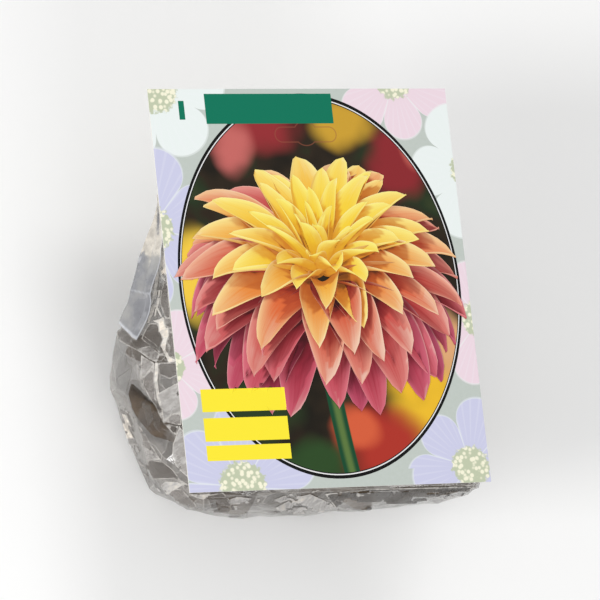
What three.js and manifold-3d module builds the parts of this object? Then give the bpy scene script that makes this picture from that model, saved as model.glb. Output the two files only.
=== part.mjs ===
// A retail pack of one dahlia tuber clump, lying on its back: a printed picture card on top, a clear
// film bag under it, and the clump of tubers inside the bag.
// Millimetres. +X is the card's right, +Y its top edge, +Z the way the picture faces.
// The origin is on the surface that the pack lies on, under the middle of its outline.
import * as THREE from "three";
import { mergeVertices } from "three/addons/utils/BufferGeometryUtils.js";
import Module from "manifold-3d";

const wasm = await Module();
wasm.setup();

// Driving dimensions of the card and what holds it to the bag
const CARD_WIDTH = 160;
const CARD_HEIGHT = 200;
const CARD_THICKNESS = 0.6;
const CARD_BOTTOM_Y = -97;
const STRIP_LENGTH = 120;
const STRIP_WIDTH = 12;
const STRIP_THICKNESS = 0.5;
const STRIP_FROM_BAG_END = 20;

// Driving dimensions of the bag: flat against the card, deepest from its heel to its end
const BAG_DEPTH = 71.2;
const BAG_NECK_Y = 53;
const BAG_HEEL_Y = -28;
const BAG_END_Y = -103;
const BAG_FRONT_HALF_WIDTH = 78.5;
const BAG_BELLY_HALF_WIDTH = 93;
const BAG_BACK_ROUND = 13;
const BAG_END_BULGE = 5;
const BAG_END_DRAW_IN = 4;
const BAG_END_TAPER = 0.07;
const FILM_WALL = 0.8;

// Corner radii of the bag's outline, at the card and at the back
const NECK_CORNER = [5, 16];
const END_LEFT_CORNER = [8, 64];
const END_RIGHT_CORNER = [5, 46];

// Punched vent holes: a place on the film and the way through it
const VENT_RADIUS = 3;
const VENT_THROUGH = 24;
const VENTS = [
  { at: [15, BAG_END_Y, 63], through: [0, 1, 0] },
  { at: [-85, -24, 62], through: [1, 0, 0] },
  { at: [85, -24, 62], through: [1, 0, 0] },
  { at: [-38, 10, 33], through: [0, 1, -1] },
  { at: [38, 10, 33], through: [0, 1, -1] },
];

// The bag's tail of film, folded down over the left shoulder to a slanting hem
const TAIL_FILM = 1.3;
const TAIL_TOP_Y = 43;
const TAIL_HEM_FRONT_Y = -21;
const TAIL_HEM_BACK_Y = -7;
const TAIL_HEM_LIFT = 2.6;
const TAIL_SUNK = 0.75;
const TAIL_FRONT_Z = [70, 47];
const TAIL_BACK_Z = [64.5, 37];

// Driving dimensions of the tuber clump
const CROWN = [4, -8, 38];
const CROWN_RADIUS = 15;
const STEM_RADIUS = 8;
const STEM_PITH_RADIUS = 4.5;
const STEM_PITH_DEPTH = 12;
const STEM_RIM_SLOPE = 1.2;
const STEM_LENGTH = 34;
const STEM_SLOPE_DEG = 33;
const EYE_COUNT = 5;
const EYE_RADIUS = 3.4;
const CLUMP_CLEARANCE = 0.35;

// Each finger of the clump: its fattest radius, and the way from near the crown to its root tip
const FINGERS = [
  { radius: 11, way: [[-22, -10, 34], [-56, -14, 33], [-97, -21, 35]] },
  { radius: 8.5, way: [[-32, -32, 40], [-62, -56, 50], [-79, -61, 51], [-85, -50, 40], [-87, -37, 31], [-84, -26, 24]] },
  { radius: 13, way: [[-12, -34, 52], [-34, -72, 54], [-80, -103, 51]] },
  { radius: 15, way: [[-6, -34, 24], [-26, -68, 16.2], [-44, -112, 31]] },
  { radius: 13, way: [[6, -36, 46], [4, -66, 53], [-14, -106, 50]] },
  { radius: 14.5, way: [[14, -36, 24], [26, -68, 15.6], [32, -108, 34]] },
  { radius: 12, way: [[26, -30, 48], [28, -68, 55], [48, -90, 57], [90, -92, 56]] },
  { radius: 13.5, way: [[26, -20, 26], [62, -42, 14.8], [78, -66, 24]] },
  { radius: 9.5, way: [[28, -4, 42], [58, 0, 47], [86, -8, 47]] },
];

const CARD_LOW_Z = BAG_DEPTH + STRIP_THICKNESS;

function smooth(from, to, value) {
  const t = Math.min(1, Math.max(0, (value - from) / (to - from)));
  return t * t * (3 - 2 * t);
}

function blend(from, to, share) {
  return from + (to - from) * share;
}

// A closed skin through rings of equal count, with a fan over each end
function loft(rings) {
  const around = rings[0].length;
  const positions = rings.flat().flatMap((p) => [p.x, p.y, p.z]);
  const index = [];
  for (let r = 0; r + 1 < rings.length; r += 1) {
    for (let i = 0; i < around; i += 1) {
      const a = r * around + i;
      const b = r * around + ((i + 1) % around);
      index.push(a, b, b + around, a, b + around, a + around);
    }
  }
  for (const r of [0, rings.length - 1]) {
    const centre = new THREE.Vector3();
    rings[r].forEach((p) => centre.add(p));
    centre.divideScalar(around);
    const hub = positions.length / 3;
    positions.push(centre.x, centre.y, centre.z);
    for (let i = 0; i < around; i += 1) {
      const a = r * around + i;
      const b = r * around + ((i + 1) % around);
      index.push(...(r === 0 ? [hub, b, a] : [hub, a, b]));
    }
  }
  const geometry = new THREE.BufferGeometry();
  geometry.setAttribute("position", new THREE.Float32BufferAttribute(positions, 3));
  geometry.setIndex(index);
  return geometry;
}

// A closed geometry as a solid that can be joined and cut
function solid(geometry) {
  const bare = geometry.clone();
  bare.deleteAttribute("normal");
  bare.deleteAttribute("uv");
  const merged = mergeVertices(bare, 1e-4);
  return new wasm.Manifold(new wasm.Mesh({
    numProp: 3,
    vertProperties: new Float32Array(merged.attributes.position.array),
    triVerts: new Uint32Array(merged.index.array),
  }));
}

// The one body that counts of a joined solid, without any pocket that the joining has closed
function mainBody(manifold) {
  return manifold.decompose().reduce((best, body) => (body.volume() > best.volume() ? body : best));
}

function namedMesh(name, manifold, material) {
  const { vertProperties, triVerts } = manifold.getMesh();
  const geometry = new THREE.BufferGeometry();
  geometry.setAttribute("position", new THREE.BufferAttribute(vertProperties, 3));
  geometry.setIndex(new THREE.BufferAttribute(triVerts, 1));
  const mesh = new THREE.Mesh(geometry, material);
  mesh.name = name;
  return mesh;
}

// The bag's outline at one height: its sides and corner radii, drawn in by the wall
function bagOutline(z, wall) {
  const depth = (BAG_DEPTH - z) / BAG_DEPTH;
  const under = Math.max(0, BAG_BACK_ROUND - (z - wall));
  const backInset = BAG_BACK_ROUND - Math.sqrt(BAG_BACK_ROUND ** 2 - under ** 2);
  const spread = blend(BAG_FRONT_HALF_WIDTH, BAG_BELLY_HALF_WIDTH, smooth(0, 0.6, depth));
  const endBulge = BAG_END_BULGE * smooth(0, 0.35, depth) - BAG_END_DRAW_IN * smooth(0.5, 0.95, depth);
  const neck = blend(BAG_NECK_Y, BAG_HEEL_Y, depth) - 1.5 * wall;
  const end = BAG_END_Y + BAG_END_BULGE - endBulge + 0.5 * backInset + wall;
  const neckCorner = blend(...NECK_CORNER, depth);
  const roundest = neck - end - neckCorner - 2;
  return {
    taper: BAG_END_TAPER * depth,
    halfWidth: spread - 0.8 * backInset - wall,
    neck,
    end,
    neckCorner,
    leftCorner: Math.min(roundest, blend(...END_LEFT_CORNER, smooth(0, 0.8, depth))),
    rightCorner: Math.min(roundest, blend(...END_RIGHT_CORNER, smooth(0.1, 0.9, depth))),
  };
}

const CORNER_STEPS = 8;
const EDGE_STEPS = 6;

function bagRing(z, wall) {
  const o = bagOutline(z, wall);
  const corners = [
    { x: o.halfWidth, y: o.neck, radius: o.neckCorner, quarter: 0 },
    { x: -o.halfWidth, y: o.neck, radius: o.neckCorner, quarter: 1 },
    { x: -o.halfWidth, y: o.end, radius: o.leftCorner, quarter: 2 },
    { x: o.halfWidth, y: o.end, radius: o.rightCorner, quarter: 3 },
  ];
  const cornerPoint = (corner, turn) => {
    const angle = (Math.PI / 2) * (corner.quarter + turn);
    const x = corner.x - Math.sign(corner.x) * corner.radius + corner.radius * Math.cos(angle);
    const y = corner.y + (corner.y === o.neck ? -1 : 1) * corner.radius + corner.radius * Math.sin(angle);
    return new THREE.Vector3(x, y, z);
  };
  const points = [];
  corners.forEach((corner, i) => {
    for (let step = 0; step <= CORNER_STEPS; step += 1) {
      points.push(cornerPoint(corner, step / CORNER_STEPS));
    }
    const from = cornerPoint(corner, 1);
    const to = cornerPoint(corners[(i + 1) % 4], 0);
    for (let step = 1; step < EDGE_STEPS; step += 1) {
      points.push(from.clone().lerp(to, step / EDGE_STEPS));
    }
  });
  for (const p of points) {
    p.x *= 1 - o.taper * smooth(BAG_HEEL_Y, BAG_END_Y, p.y);
  }
  return points;
}

const BAG_LEVELS = [0, 1, 2.8, 5.5, 9.5, 15, 24, 34, 45, 55, 63, 68, BAG_DEPTH];

function bagSolid(wall) {
  const rings = BAG_LEVELS.map((z) => bagRing(blend(wall, BAG_DEPTH - wall, z / BAG_DEPTH), wall));
  return solid(loft(rings));
}

function ventCutter({ at, through }) {
  const cutter = new THREE.CylinderGeometry(VENT_RADIUS, VENT_RADIUS, VENT_THROUGH, 14);
  const turn = new THREE.Quaternion();
  turn.setFromUnitVectors(new THREE.Vector3(0, 1, 0), new THREE.Vector3(...through).normalize());
  cutter.applyQuaternion(turn);
  cutter.translate(...at);
  return solid(cutter);
}

// How far out the bag's left side stands at a place on it, round its neck corner too
function leftSide(y, z) {
  const o = bagOutline(z, 0);
  const past = Math.min(o.neckCorner, Math.max(0, y - (o.neck - o.neckCorner)));
  return o.halfWidth - o.neckCorner + Math.sqrt(o.neckCorner ** 2 - past ** 2);
}

const TAIL_STEPS = 8;
const TAIL_RAILS = 3;

// The folded tail follows the bag's left side from the neck, and its front edge lifts towards the hem
function tailSolid() {
  const rings = [];
  for (let step = 0; step <= TAIL_STEPS; step += 1) {
    const along = step / TAIL_STEPS;
    const frontZ = blend(...TAIL_FRONT_Z, smooth(0.3, 1.1, along));
    const backZ = blend(...TAIL_BACK_Z, along);
    const inside = [];
    const outside = [];
    for (let across = 0; across <= TAIL_RAILS; across += 1) {
      const share = across / TAIL_RAILS;
      const z = blend(frontZ, backZ, share);
      const y = blend(TAIL_TOP_Y, blend(TAIL_HEM_FRONT_Y, TAIL_HEM_BACK_Y, share), along);
      const lift = TAIL_HEM_LIFT * smooth(0.3, 1, along) * (1 - share);
      const reach = leftSide(y, z) - TAIL_SUNK + lift;
      inside.unshift(new THREE.Vector3(-reach, y, z));
      outside.push(new THREE.Vector3(-reach - TAIL_FILM, y, z));
    }
    rings.push([...outside, ...inside]);
  }
  return solid(loft(rings));
}

// The share of a finger's fattest radius along its way: thin neck, swelling, tapered end, root tail
function fingerSwelling(along) {
  const neck = blend(0.5, 1, smooth(0.02, 0.42, along));
  const end = Math.sqrt(Math.max(0, 1 - Math.max(0, (along - 0.5) / 0.42) ** 2.4));
  return Math.max(neck * end, 0.11 * (1 - 0.4 * along));
}

const FINGER_SIDES = 12;
const FINGER_STEPS = 18;

function fingerSolid({ radius, way }, number) {
  const curve = new THREE.CatmullRomCurve3([CROWN, ...way].map((p) => new THREE.Vector3(...p)));
  const frames = curve.computeFrenetFrames(FINGER_STEPS);
  const rings = [];
  for (let step = 0; step <= FINGER_STEPS; step += 1) {
    const along = step / FINGER_STEPS;
    const centre = curve.getPointAt(along);
    const ring = [];
    for (let side = 0; side < FINGER_SIDES; side += 1) {
      const angle = (2 * Math.PI * side) / FINGER_SIDES;
      const bulge = 0.05 * Math.sin(2 * angle + 9 * along + number);
      const ripple = 0.035 * Math.sin(23 * along + 2 * number);
      const reach = radius * fingerSwelling(along) * (1 + bulge + ripple);
      ring.push(centre.clone()
        .addScaledVector(frames.normals[step], reach * Math.cos(angle))
        .addScaledVector(frames.binormals[step], reach * Math.sin(angle)));
    }
    rings.push(ring);
  }
  return solid(loft(rings));
}

// The old stem's cut stub, hollow at its end, leans with the bag's sloping back towards the neck
function stemSolid() {
  const profile = [
    [0, 0],
    [STEM_RADIUS * 1.35, 0],
    [STEM_RADIUS * 1.1, STEM_LENGTH * 0.4],
    [STEM_RADIUS, STEM_LENGTH * 0.7],
    [STEM_RADIUS, STEM_LENGTH],
    [STEM_PITH_RADIUS, STEM_LENGTH - STEM_RIM_SLOPE],
    [STEM_PITH_RADIUS * 0.8, STEM_LENGTH - STEM_PITH_DEPTH],
    [0, STEM_LENGTH - STEM_PITH_DEPTH],
  ];
  const stem = new THREE.LatheGeometry(profile.map(([r, length]) => new THREE.Vector2(r, length)), 16);
  stem.rotateX(THREE.MathUtils.degToRad(STEM_SLOPE_DEG));
  stem.translate(...CROWN);
  return solid(stem);
}

function crownSolid() {
  const crown = new THREE.SphereGeometry(CROWN_RADIUS, 16, 10);
  crown.scale(1.25, 1, 0.95);
  crown.translate(CROWN[0], CROWN[1] - 2, CROWN[2]);
  return solid(crown);
}

// Resting buds, the eyes that next year's shoots grow from, round the foot of the stem
function eyeSolids() {
  const eyes = [];
  for (let i = 0; i < EYE_COUNT; i += 1) {
    const angle = (Math.PI * (i + 0.5)) / EYE_COUNT;
    const eye = new THREE.SphereGeometry(EYE_RADIUS, 8, 6);
    const forward = 4 + 3 * (i % 2);
    eye.translate(CROWN_RADIUS * Math.cos(angle), forward, 0.8 * CROWN_RADIUS * Math.sin(angle));
    eye.translate(...CROWN);
    eyes.push(solid(eye));
  }
  return eyes;
}

const cardMaterial = new THREE.MeshStandardMaterial({ color: 0xc8cfc6, roughness: 0.35 });
const stripMaterial = new THREE.MeshStandardMaterial({ color: 0xe9e6da, roughness: 0.6 });
const filmMaterial = new THREE.MeshStandardMaterial({
  color: 0xb4aea6, roughness: 0.2, transparent: true, opacity: 0.45,
});
const tuberMaterial = new THREE.MeshStandardMaterial({ color: 0x6b5746, roughness: 0.85 });

const pack = new THREE.Group();

const card = new THREE.Mesh(new THREE.BoxGeometry(CARD_WIDTH, CARD_HEIGHT, CARD_THICKNESS), cardMaterial);
card.name = "picture_card";
card.position.set(0, CARD_BOTTOM_Y + CARD_HEIGHT / 2, CARD_LOW_Z + CARD_THICKNESS / 2);
pack.add(card);

const stripPlaces = {
  adhesive_strip_upper: BAG_NECK_Y - STRIP_FROM_BAG_END,
  adhesive_strip_lower: BAG_END_Y + STRIP_FROM_BAG_END,
};
const stripShape = new THREE.BoxGeometry(STRIP_LENGTH, STRIP_WIDTH, STRIP_THICKNESS);
for (const [name, y] of Object.entries(stripPlaces)) {
  const strip = new THREE.Mesh(stripShape, stripMaterial);
  strip.name = name;
  strip.position.set(0, y, BAG_DEPTH + STRIP_THICKNESS / 2);
  pack.add(strip);
}

const vents = wasm.Manifold.union(VENTS.map(ventCutter));
const film = bagSolid(0).add(tailSolid()).subtract(bagSolid(FILM_WALL)).subtract(vents);
pack.add(namedMesh("film_bag", mainBody(film), filmMaterial));

const fingers = wasm.Manifold.union(FINGERS.map(fingerSolid));
const grown = wasm.Manifold.union([crownSolid(), stemSolid(), fingers, ...eyeSolids()]);
const clump = mainBody(grown.intersect(bagSolid(FILM_WALL + CLUMP_CLEARANCE)));
pack.add(namedMesh("tuber_clump", clump, tuberMaterial));

export default pack;
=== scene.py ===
import math
import bmesh
import bpy
import numpy as np
from mathutils import Matrix, Vector
from mathutils.bvhtree import BVHTree
from mathutils.geometry import delaunay_2d_cdt
from mathutils.noise import noise


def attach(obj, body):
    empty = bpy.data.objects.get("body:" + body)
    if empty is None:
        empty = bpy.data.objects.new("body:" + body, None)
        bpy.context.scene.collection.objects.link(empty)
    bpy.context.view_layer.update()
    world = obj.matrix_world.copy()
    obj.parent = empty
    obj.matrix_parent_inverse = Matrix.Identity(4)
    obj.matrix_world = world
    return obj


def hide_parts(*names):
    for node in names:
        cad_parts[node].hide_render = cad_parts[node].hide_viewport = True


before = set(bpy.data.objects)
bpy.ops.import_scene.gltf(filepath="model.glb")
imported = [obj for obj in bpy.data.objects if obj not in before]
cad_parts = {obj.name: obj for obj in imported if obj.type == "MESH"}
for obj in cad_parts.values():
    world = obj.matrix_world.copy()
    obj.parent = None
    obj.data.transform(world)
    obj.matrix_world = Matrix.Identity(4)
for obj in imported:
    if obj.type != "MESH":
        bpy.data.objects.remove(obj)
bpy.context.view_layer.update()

# The pack lies on its back: card on top, film bag under it, tubers in the bag.
# Lengths here are in millimetres, in the frame of the CAD, and MM makes them metres.
MM = 0.001
CARD_MIDDLE = (0.0, 3.0)
CARD_TOP = 72.3

# The bag's sizes, as in the CAD: flat against the card, deepest from its heel to its end
BAG_DEPTH = 71.2
BAG_NECK_Y = 53.0
BAG_HEEL_Y = -28.0
BAG_END_Y = -103.0
BAG_FRONT_HALF_WIDTH = 78.5
BAG_BELLY_HALF_WIDTH = 93.0
BAG_BACK_ROUND = 13.0
BAG_END_BULGE = 5.0
BAG_END_DRAW_IN = 4.0
BAG_END_TAPER = 0.07

# Corner radii of the bag's outline, at the card and at the back
NECK_CORNER = (5.0, 16.0)
END_LEFT_CORNER = (8.0, 64.0)
END_RIGHT_CORNER = (5.0, 46.0)

# The camera's place in metres and its own right, up and backward directions
CAMERA_PLACE = (-0.9896, -0.4958, 2.2486)
VIEW_RIGHT = (0.9157, -0.1081, 0.3871)
VIEW_UP = (0.0184, 0.9734, 0.2284)
VIEW_BACK = (-0.4015, -0.202, 0.8933)
CAMERA_LENS = 300.0
SENSOR_WIDTH = 36.0
PHOTO_SIDE = 600  # the photo's width and height, in pixels counted from its upper left corner


# Small helpers

def smooth(low, high, value):
    """A soft step from 0 at low to 1 at high, for a number or an array."""
    t = np.clip((value - low) / (high - low), 0, 1)
    return t * t * (3 - 2 * t)


def blend(low, high, share):
    return low + (high - low) * share


def ink(red, green, blue):
    """A printed or seen colour, 0 to 255, as the linear values that shaders take."""
    def linear(value):
        value /= 255
        return value / 12.92 if value <= 0.04045 else ((value + 0.055) / 1.055) ** 2.4
    return (linear(red), linear(green), linear(blue), 1.0)


def pick(piece):
    for item in bpy.context.selected_objects:
        item.select_set(False)
    bpy.context.view_layer.objects.active = piece
    piece.select_set(True)


def piece_from(name, places, faces):
    """A new piece from places in millimetres."""
    mesh = bpy.data.meshes.new(name)
    mesh.from_pydata([tuple(c * MM for c in place) for place in places], [], faces)
    piece = bpy.data.objects.new(name, mesh)
    bpy.context.scene.collection.objects.link(piece)
    return piece


def apply_modifier(piece, kind, **settings):
    pick(piece)
    modifier = piece.modifiers.new(kind.lower(), kind)
    for key, value in settings.items():
        setattr(modifier, key, value)
    bpy.ops.object.modifier_apply(modifier=modifier.name)


def read_places(piece):
    places = np.zeros(len(piece.data.vertices) * 3)
    piece.data.vertices.foreach_get("co", places)
    return places.reshape(-1, 3) / MM


def write_places(piece, places):
    piece.data.vertices.foreach_set("co", (places * MM).ravel())
    piece.data.update()


def in_order(piece):
    """Sorts a remeshed piece's vertices and faces by place, so that their order is the same on every run."""
    places = read_places(piece).round(4)
    order = np.lexsort(places.T)
    rank = np.empty(len(order), int)
    rank[order] = np.arange(len(order))
    faces = []
    for face in piece.data.polygons:
        corners = [int(rank[index]) for index in face.vertices]
        first = corners.index(min(corners))
        faces.append(corners[first:] + corners[:first])
    mesh = bpy.data.meshes.new(piece.name)
    mesh.from_pydata((places[order] * MM).tolist(), [], sorted(faces))
    piece.data = mesh


def outward(piece):
    ways = np.zeros(len(piece.data.vertices) * 3)
    piece.data.vertex_normals.foreach_get("vector", ways)
    return ways.reshape(-1, 3)


def note(piece, name, values):
    """Keeps one number for each vertex, for the piece's material to read."""
    attribute = piece.data.attributes.new(name, "FLOAT", "POINT")
    attribute.data.foreach_set("value", np.asarray(values, np.float32))


def merged_copy(node, name):
    """A copy of a CAD node's mesh as one closed skin."""
    piece = bpy.data.objects.new(name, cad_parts[node].data.copy())
    bpy.context.scene.collection.objects.link(piece)
    pick(piece)
    bpy.ops.object.mode_set(mode="EDIT")
    bpy.ops.mesh.select_all(action="SELECT")
    bpy.ops.mesh.remove_doubles(threshold=0.01 * MM)
    bpy.ops.object.mode_set(mode="OBJECT")
    piece.data.materials.clear()
    for layer in [a.name for a in piece.data.attributes if a.name.startswith("UV")]:
        piece.data.attributes.remove(piece.data.attributes[layer])
    return piece


def dress(piece, material, soften=None):
    """Gives a piece its one material, and softens edges below an angle in degrees."""
    piece.data.materials.clear()
    piece.data.materials.append(material)
    if soften:
        pick(piece)
        bpy.ops.object.shade_smooth_by_angle(angle=math.radians(soften))


# Shader graphs

class Graph:
    """Adds nodes to a node tree. An argument is a socket, a number, or a tuple."""

    def __init__(self, tree):
        self.tree = tree

    def put(self, kind, inputs=None, **settings):
        made = self.tree.nodes.new(kind)
        for key, value in settings.items():
            setattr(made, key, value)
        for key, value in (inputs or {}).items():
            self.feed(made.inputs[key], value)
        return made

    def feed(self, socket, value):
        """Links a socket to the given one, or sets a plain value on it."""
        if isinstance(value, bpy.types.NodeSocket):
            self.tree.links.new(value, socket)
        elif value is not None:
            socket.default_value = value

    def math(self, operation, a, b=None, c=None):
        made = self.put("ShaderNodeMath", {0: a}, operation=operation)
        for i, value in ((1, b), (2, c)):
            if value is not None:
                self.feed(made.inputs[i], value)
        return made.outputs[0]

    def add(self, a, b):
        return self.math("ADD", a, b)

    def sub(self, a, b):
        return self.math("SUBTRACT", a, b)

    def mul(self, a, b):
        return self.math("MULTIPLY", a, b)

    def most(self, a, b):
        return self.math("MAXIMUM", a, b)

    def squares(self, a, b):
        return self.add(self.mul(a, a), self.mul(b, b))

    def vector(self, operation, a, b=None, scale=None):
        made = self.put("ShaderNodeVectorMath", {0: a}, operation=operation)
        if b is not None:
            self.feed(made.inputs[1], b)
        if scale is not None:
            self.feed(made.inputs["Scale"], scale)
        return made.outputs["Value" if operation in ("LENGTH", "DOT_PRODUCT", "DISTANCE") else "Vector"]

    def split(self, vector):
        return self.put("ShaderNodeSeparateXYZ", {0: vector}).outputs

    def join(self, x, y, z=0.0):
        return self.put("ShaderNodeCombineXYZ", {0: x, 1: y, 2: z}).outputs[0]

    def ease(self, value, low, high, to_low=0.0, to_high=1.0):
        made = self.put("ShaderNodeMapRange", interpolation_type="SMOOTHSTEP")
        for key, number in (("Value", value), ("From Min", low), ("From Max", high),
                            ("To Min", to_low), ("To Max", to_high)):
            self.feed(made.inputs[key], number)
        return made.outputs["Result"]

    def mix(self, share, a, b, how="MIX"):
        made = self.put("ShaderNodeMix", data_type="RGBA", blend_type=how)
        self.feed(made.inputs[0], share)
        self.feed(made.inputs[6], a)
        self.feed(made.inputs[7], b)
        return made.outputs[2]

    def noise(self, vector, scale, detail=3.0, roughness=0.5):
        made = self.put("ShaderNodeTexNoise", {"Vector": vector, "Scale": scale, "Detail": detail,
                                               "Roughness": roughness})
        return made.outputs["Fac"]

    def ramp(self, value, stops):
        made = self.put("ShaderNodeValToRGB", {0: value})
        elements = made.color_ramp.elements
        while len(elements) < len(stops):
            elements.new(0.5)
        for element, (place, colour) in zip(elements, stops):
            element.position = place
            element.color = colour
        return made.outputs[0]

    def attribute(self, name, output="Fac"):
        return self.put("ShaderNodeAttribute", attribute_name=name).outputs[output]

    def place(self):
        """The point on the piece, in millimetres."""
        where = self.put("ShaderNodeTexCoord").outputs["Object"]
        return self.vector("SCALE", where, scale=1 / MM)


def new_group(name, inputs, outputs):
    tree = bpy.data.node_groups.new(name, "ShaderNodeTree")
    kinds = {"vector": "NodeSocketVector", "float": "NodeSocketFloat", "colour": "NodeSocketColor"}
    for socket, kind in inputs.items():
        tree.interface.new_socket(socket, in_out="INPUT", socket_type=kinds[kind])
    for socket, kind in outputs.items():
        tree.interface.new_socket(socket, in_out="OUTPUT", socket_type=kinds[kind])
    graph = Graph(tree)
    entry = graph.put("NodeGroupInput").outputs
    leave = graph.put("NodeGroupOutput").inputs
    return graph, entry, leave


def new_material(name, **values):
    """A material whose plain numbers sit on the Principled shader's own sockets."""
    material = bpy.data.materials.new(name)
    material.use_nodes = True
    graph = Graph(material.node_tree)
    shader = material.node_tree.nodes["Principled BSDF"]
    for key, value in values.items():
        shader.inputs[key.replace("_", " ")].default_value = value
    return material, graph, shader


def bumped(graph, shader, height, distance, strength=1.0):
    bump = graph.put("ShaderNodeBump", {"Height": height, "Strength": strength, "Distance": distance})
    graph.feed(shader.inputs["Normal"], bump.outputs[0])


def place_group(graph, group, **inputs):
    made = graph.put("ShaderNodeGroup", node_tree=group)
    for key, value in inputs.items():
        graph.feed(made.inputs[key.replace("_", " ")], value)
    return made.outputs


# The card's print

def pale_blossom_group():
    """A faint flat blossom: rounded petals with a rim and veins round a tuft of stamens."""
    g, entry, leave = new_group(
        "pale_blossom",
        {"Place": "vector", "Middle": "vector", "Size": "float", "Petals": "float", "Turn": "float"},
        {"Petal": "float", "Rim": "float", "Vein": "float", "Stamen": "float", "Stamen Rim": "float"})
    offset = g.vector("SUBTRACT", entry["Place"], entry["Middle"])
    scaled = g.vector("DIVIDE", offset, g.join(entry["Size"], entry["Size"], 1.0))
    x, y, _ = g.split(scaled)
    reach = g.math("SQRT", g.squares(x, y))
    turn = g.add(g.math("ARCTAN2", y, x), entry["Turn"])
    sector = g.mul(turn, g.math("DIVIDE", entry["Petals"], 2 * math.pi))
    across = g.mul(g.sub(g.math("FRACT", sector), 0.5), 2.0)
    wave = g.mul(g.math("SINE", g.mul(g.math("FLOOR", sector), 2.3)), 0.06)
    round_end = g.math("SQRT", g.sub(1.02, g.mul(across, across)))
    edge = g.add(g.math("MULTIPLY_ADD", round_end, 0.42, 0.52), wave)
    inside = g.sub(edge, reach)
    g.feed(leave["Petal"], g.ease(inside, 0.0, 0.02))
    seam = g.ease(g.math("ABSOLUTE", across), 0.93, 0.99)
    rim = g.sub(g.ease(inside, -0.012, 0.0), g.ease(inside, 0.014, 0.03))
    g.feed(leave["Rim"], g.most(rim, g.mul(seam, g.ease(inside, 0.0, 0.02))))
    veins = g.math("SINE", g.mul(across, 22.0))
    g.feed(leave["Vein"], g.mul(g.ease(veins, 0.5, 1.0), g.ease(reach, 0.25, 0.5)))
    tuft = g.add(reach, g.mul(g.noise(entry["Place"], 0.5, 2.0), 0.16))
    grains = g.put("ShaderNodeTexVoronoi", {"Vector": entry["Place"], "Scale": 0.42}, feature="F1")
    grain = g.ease(grains.outputs["Distance"], 0.6, 0.3)
    inside_tuft = g.ease(tuft, 0.38, 0.34)
    g.feed(leave["Stamen"], g.mul(grain, inside_tuft))
    g.feed(leave["Stamen Rim"], inside_tuft)
    return g.tree


def box_mask(g, x, y, left, right, low, high):
    """1 inside an upright printed bar."""
    inside_x = g.mul(g.math("GREATER_THAN", x, left), g.math("LESS_THAN", x, right))
    inside_y = g.mul(g.math("GREATER_THAN", y, low), g.math("LESS_THAN", y, high))
    return g.mul(inside_x, inside_y)


def oval_reach(g, x, y, middle, radii):
    """How far out a place lies on an oval, squared: 1 on its rim."""
    off_x = g.math("DIVIDE", g.sub(x, middle[0]), radii[0])
    off_y = g.math("DIVIDE", g.sub(y, middle[1]), radii[1])
    return g.squares(off_x, off_y)


GROUND = ink(190, 199, 191)
LILAC = ink(207, 208, 234)
PINK = ink(240, 219, 229)
WHITE_PETAL = ink(238, 245, 243)
TITLE_GREEN = ink(0, 118, 90)
LABEL_YELLOW = ink(255, 236, 56)

# Middle, size, petals, turn and colour of each faint blossom of the ground, on the card in millimetres
BLOSSOMS = [
    ((-76.0, 99.0), 40.0, 5.0, 0.4, WHITE_PETAL),
    ((52.0, 104.0), 34.0, 6.0, 0.9, PINK),
    ((-86.0, 30.0), 42.0, 6.0, 0.2, LILAC),
    ((88.0, 58.0), 36.0, 5.0, 0.0, WHITE_PETAL),
    ((84.0, -18.0), 34.0, 7.0, 0.5, PINK),
    ((-84.0, -38.0), 30.0, 5.0, 0.8, PINK),
    ((70.0, -92.0), 36.0, 6.0, 0.3, LILAC),
    ((-52.0, -98.0), 44.0, 6.0, 0.1, LILAC),
]

# The oval picture with its rims, and the plain bars printed over it: left, right, low and high
OVAL_MIDDLE = (0.8, 0.9)
OVAL_RADII = (75.0, 96.7)
OVAL_RIMS = [(1.0, ink(8, 8, 8)), (0.9825, ink(240, 240, 240)), (0.9765, ink(14, 14, 14))]
PICTURE_RIM = 0.971
TITLE_BARS = [(-50.6, 17.2, 82.3, 97.5), (-64.6, -61.6, 84.5, 94.0)]
LABEL_BARS = [(-69.0, -25.0, -61.0, -49.8), (-69.0, -25.0, -75.5, -64.0), (-69.0, -25.0, -85.0, -77.5)]

# Blurred flowers, buds and leaves behind the printed bloom: middle, radii, colour
BLURS = [
    ((-30.0, 84.0), (26.0, 16.0), ink(150, 45, 50)),
    ((-38.0, 72.0), (10.0, 14.0), ink(200, 105, 100)),
    ((22.0, 82.0), (16.0, 12.0), ink(205, 160, 50)),
    ((48.0, 62.0), (15.0, 17.0), ink(140, 40, 45)),
    ((60.0, 70.0), (7.0, 10.0), ink(195, 95, 85)),
    ((-66.0, 8.0), (13.0, 22.0), ink(246, 205, 70)),
    ((50.0, -52.0), (20.0, 26.0), ink(240, 190, 45)),
    ((64.0, -30.0), (9.0, 17.0), ink(226, 170, 120)),
    ((24.0, -80.0), (22.0, 20.0), ink(176, 52, 40)),
    ((10.0, -72.0), (12.0, 10.0), ink(215, 95, 60)),
    ((-40.0, -60.0), (20.0, 15.0), ink(40, 58, 30)),
    ((-12.0, -88.0), (15.0, 12.0), ink(44, 74, 36)),
]


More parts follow.
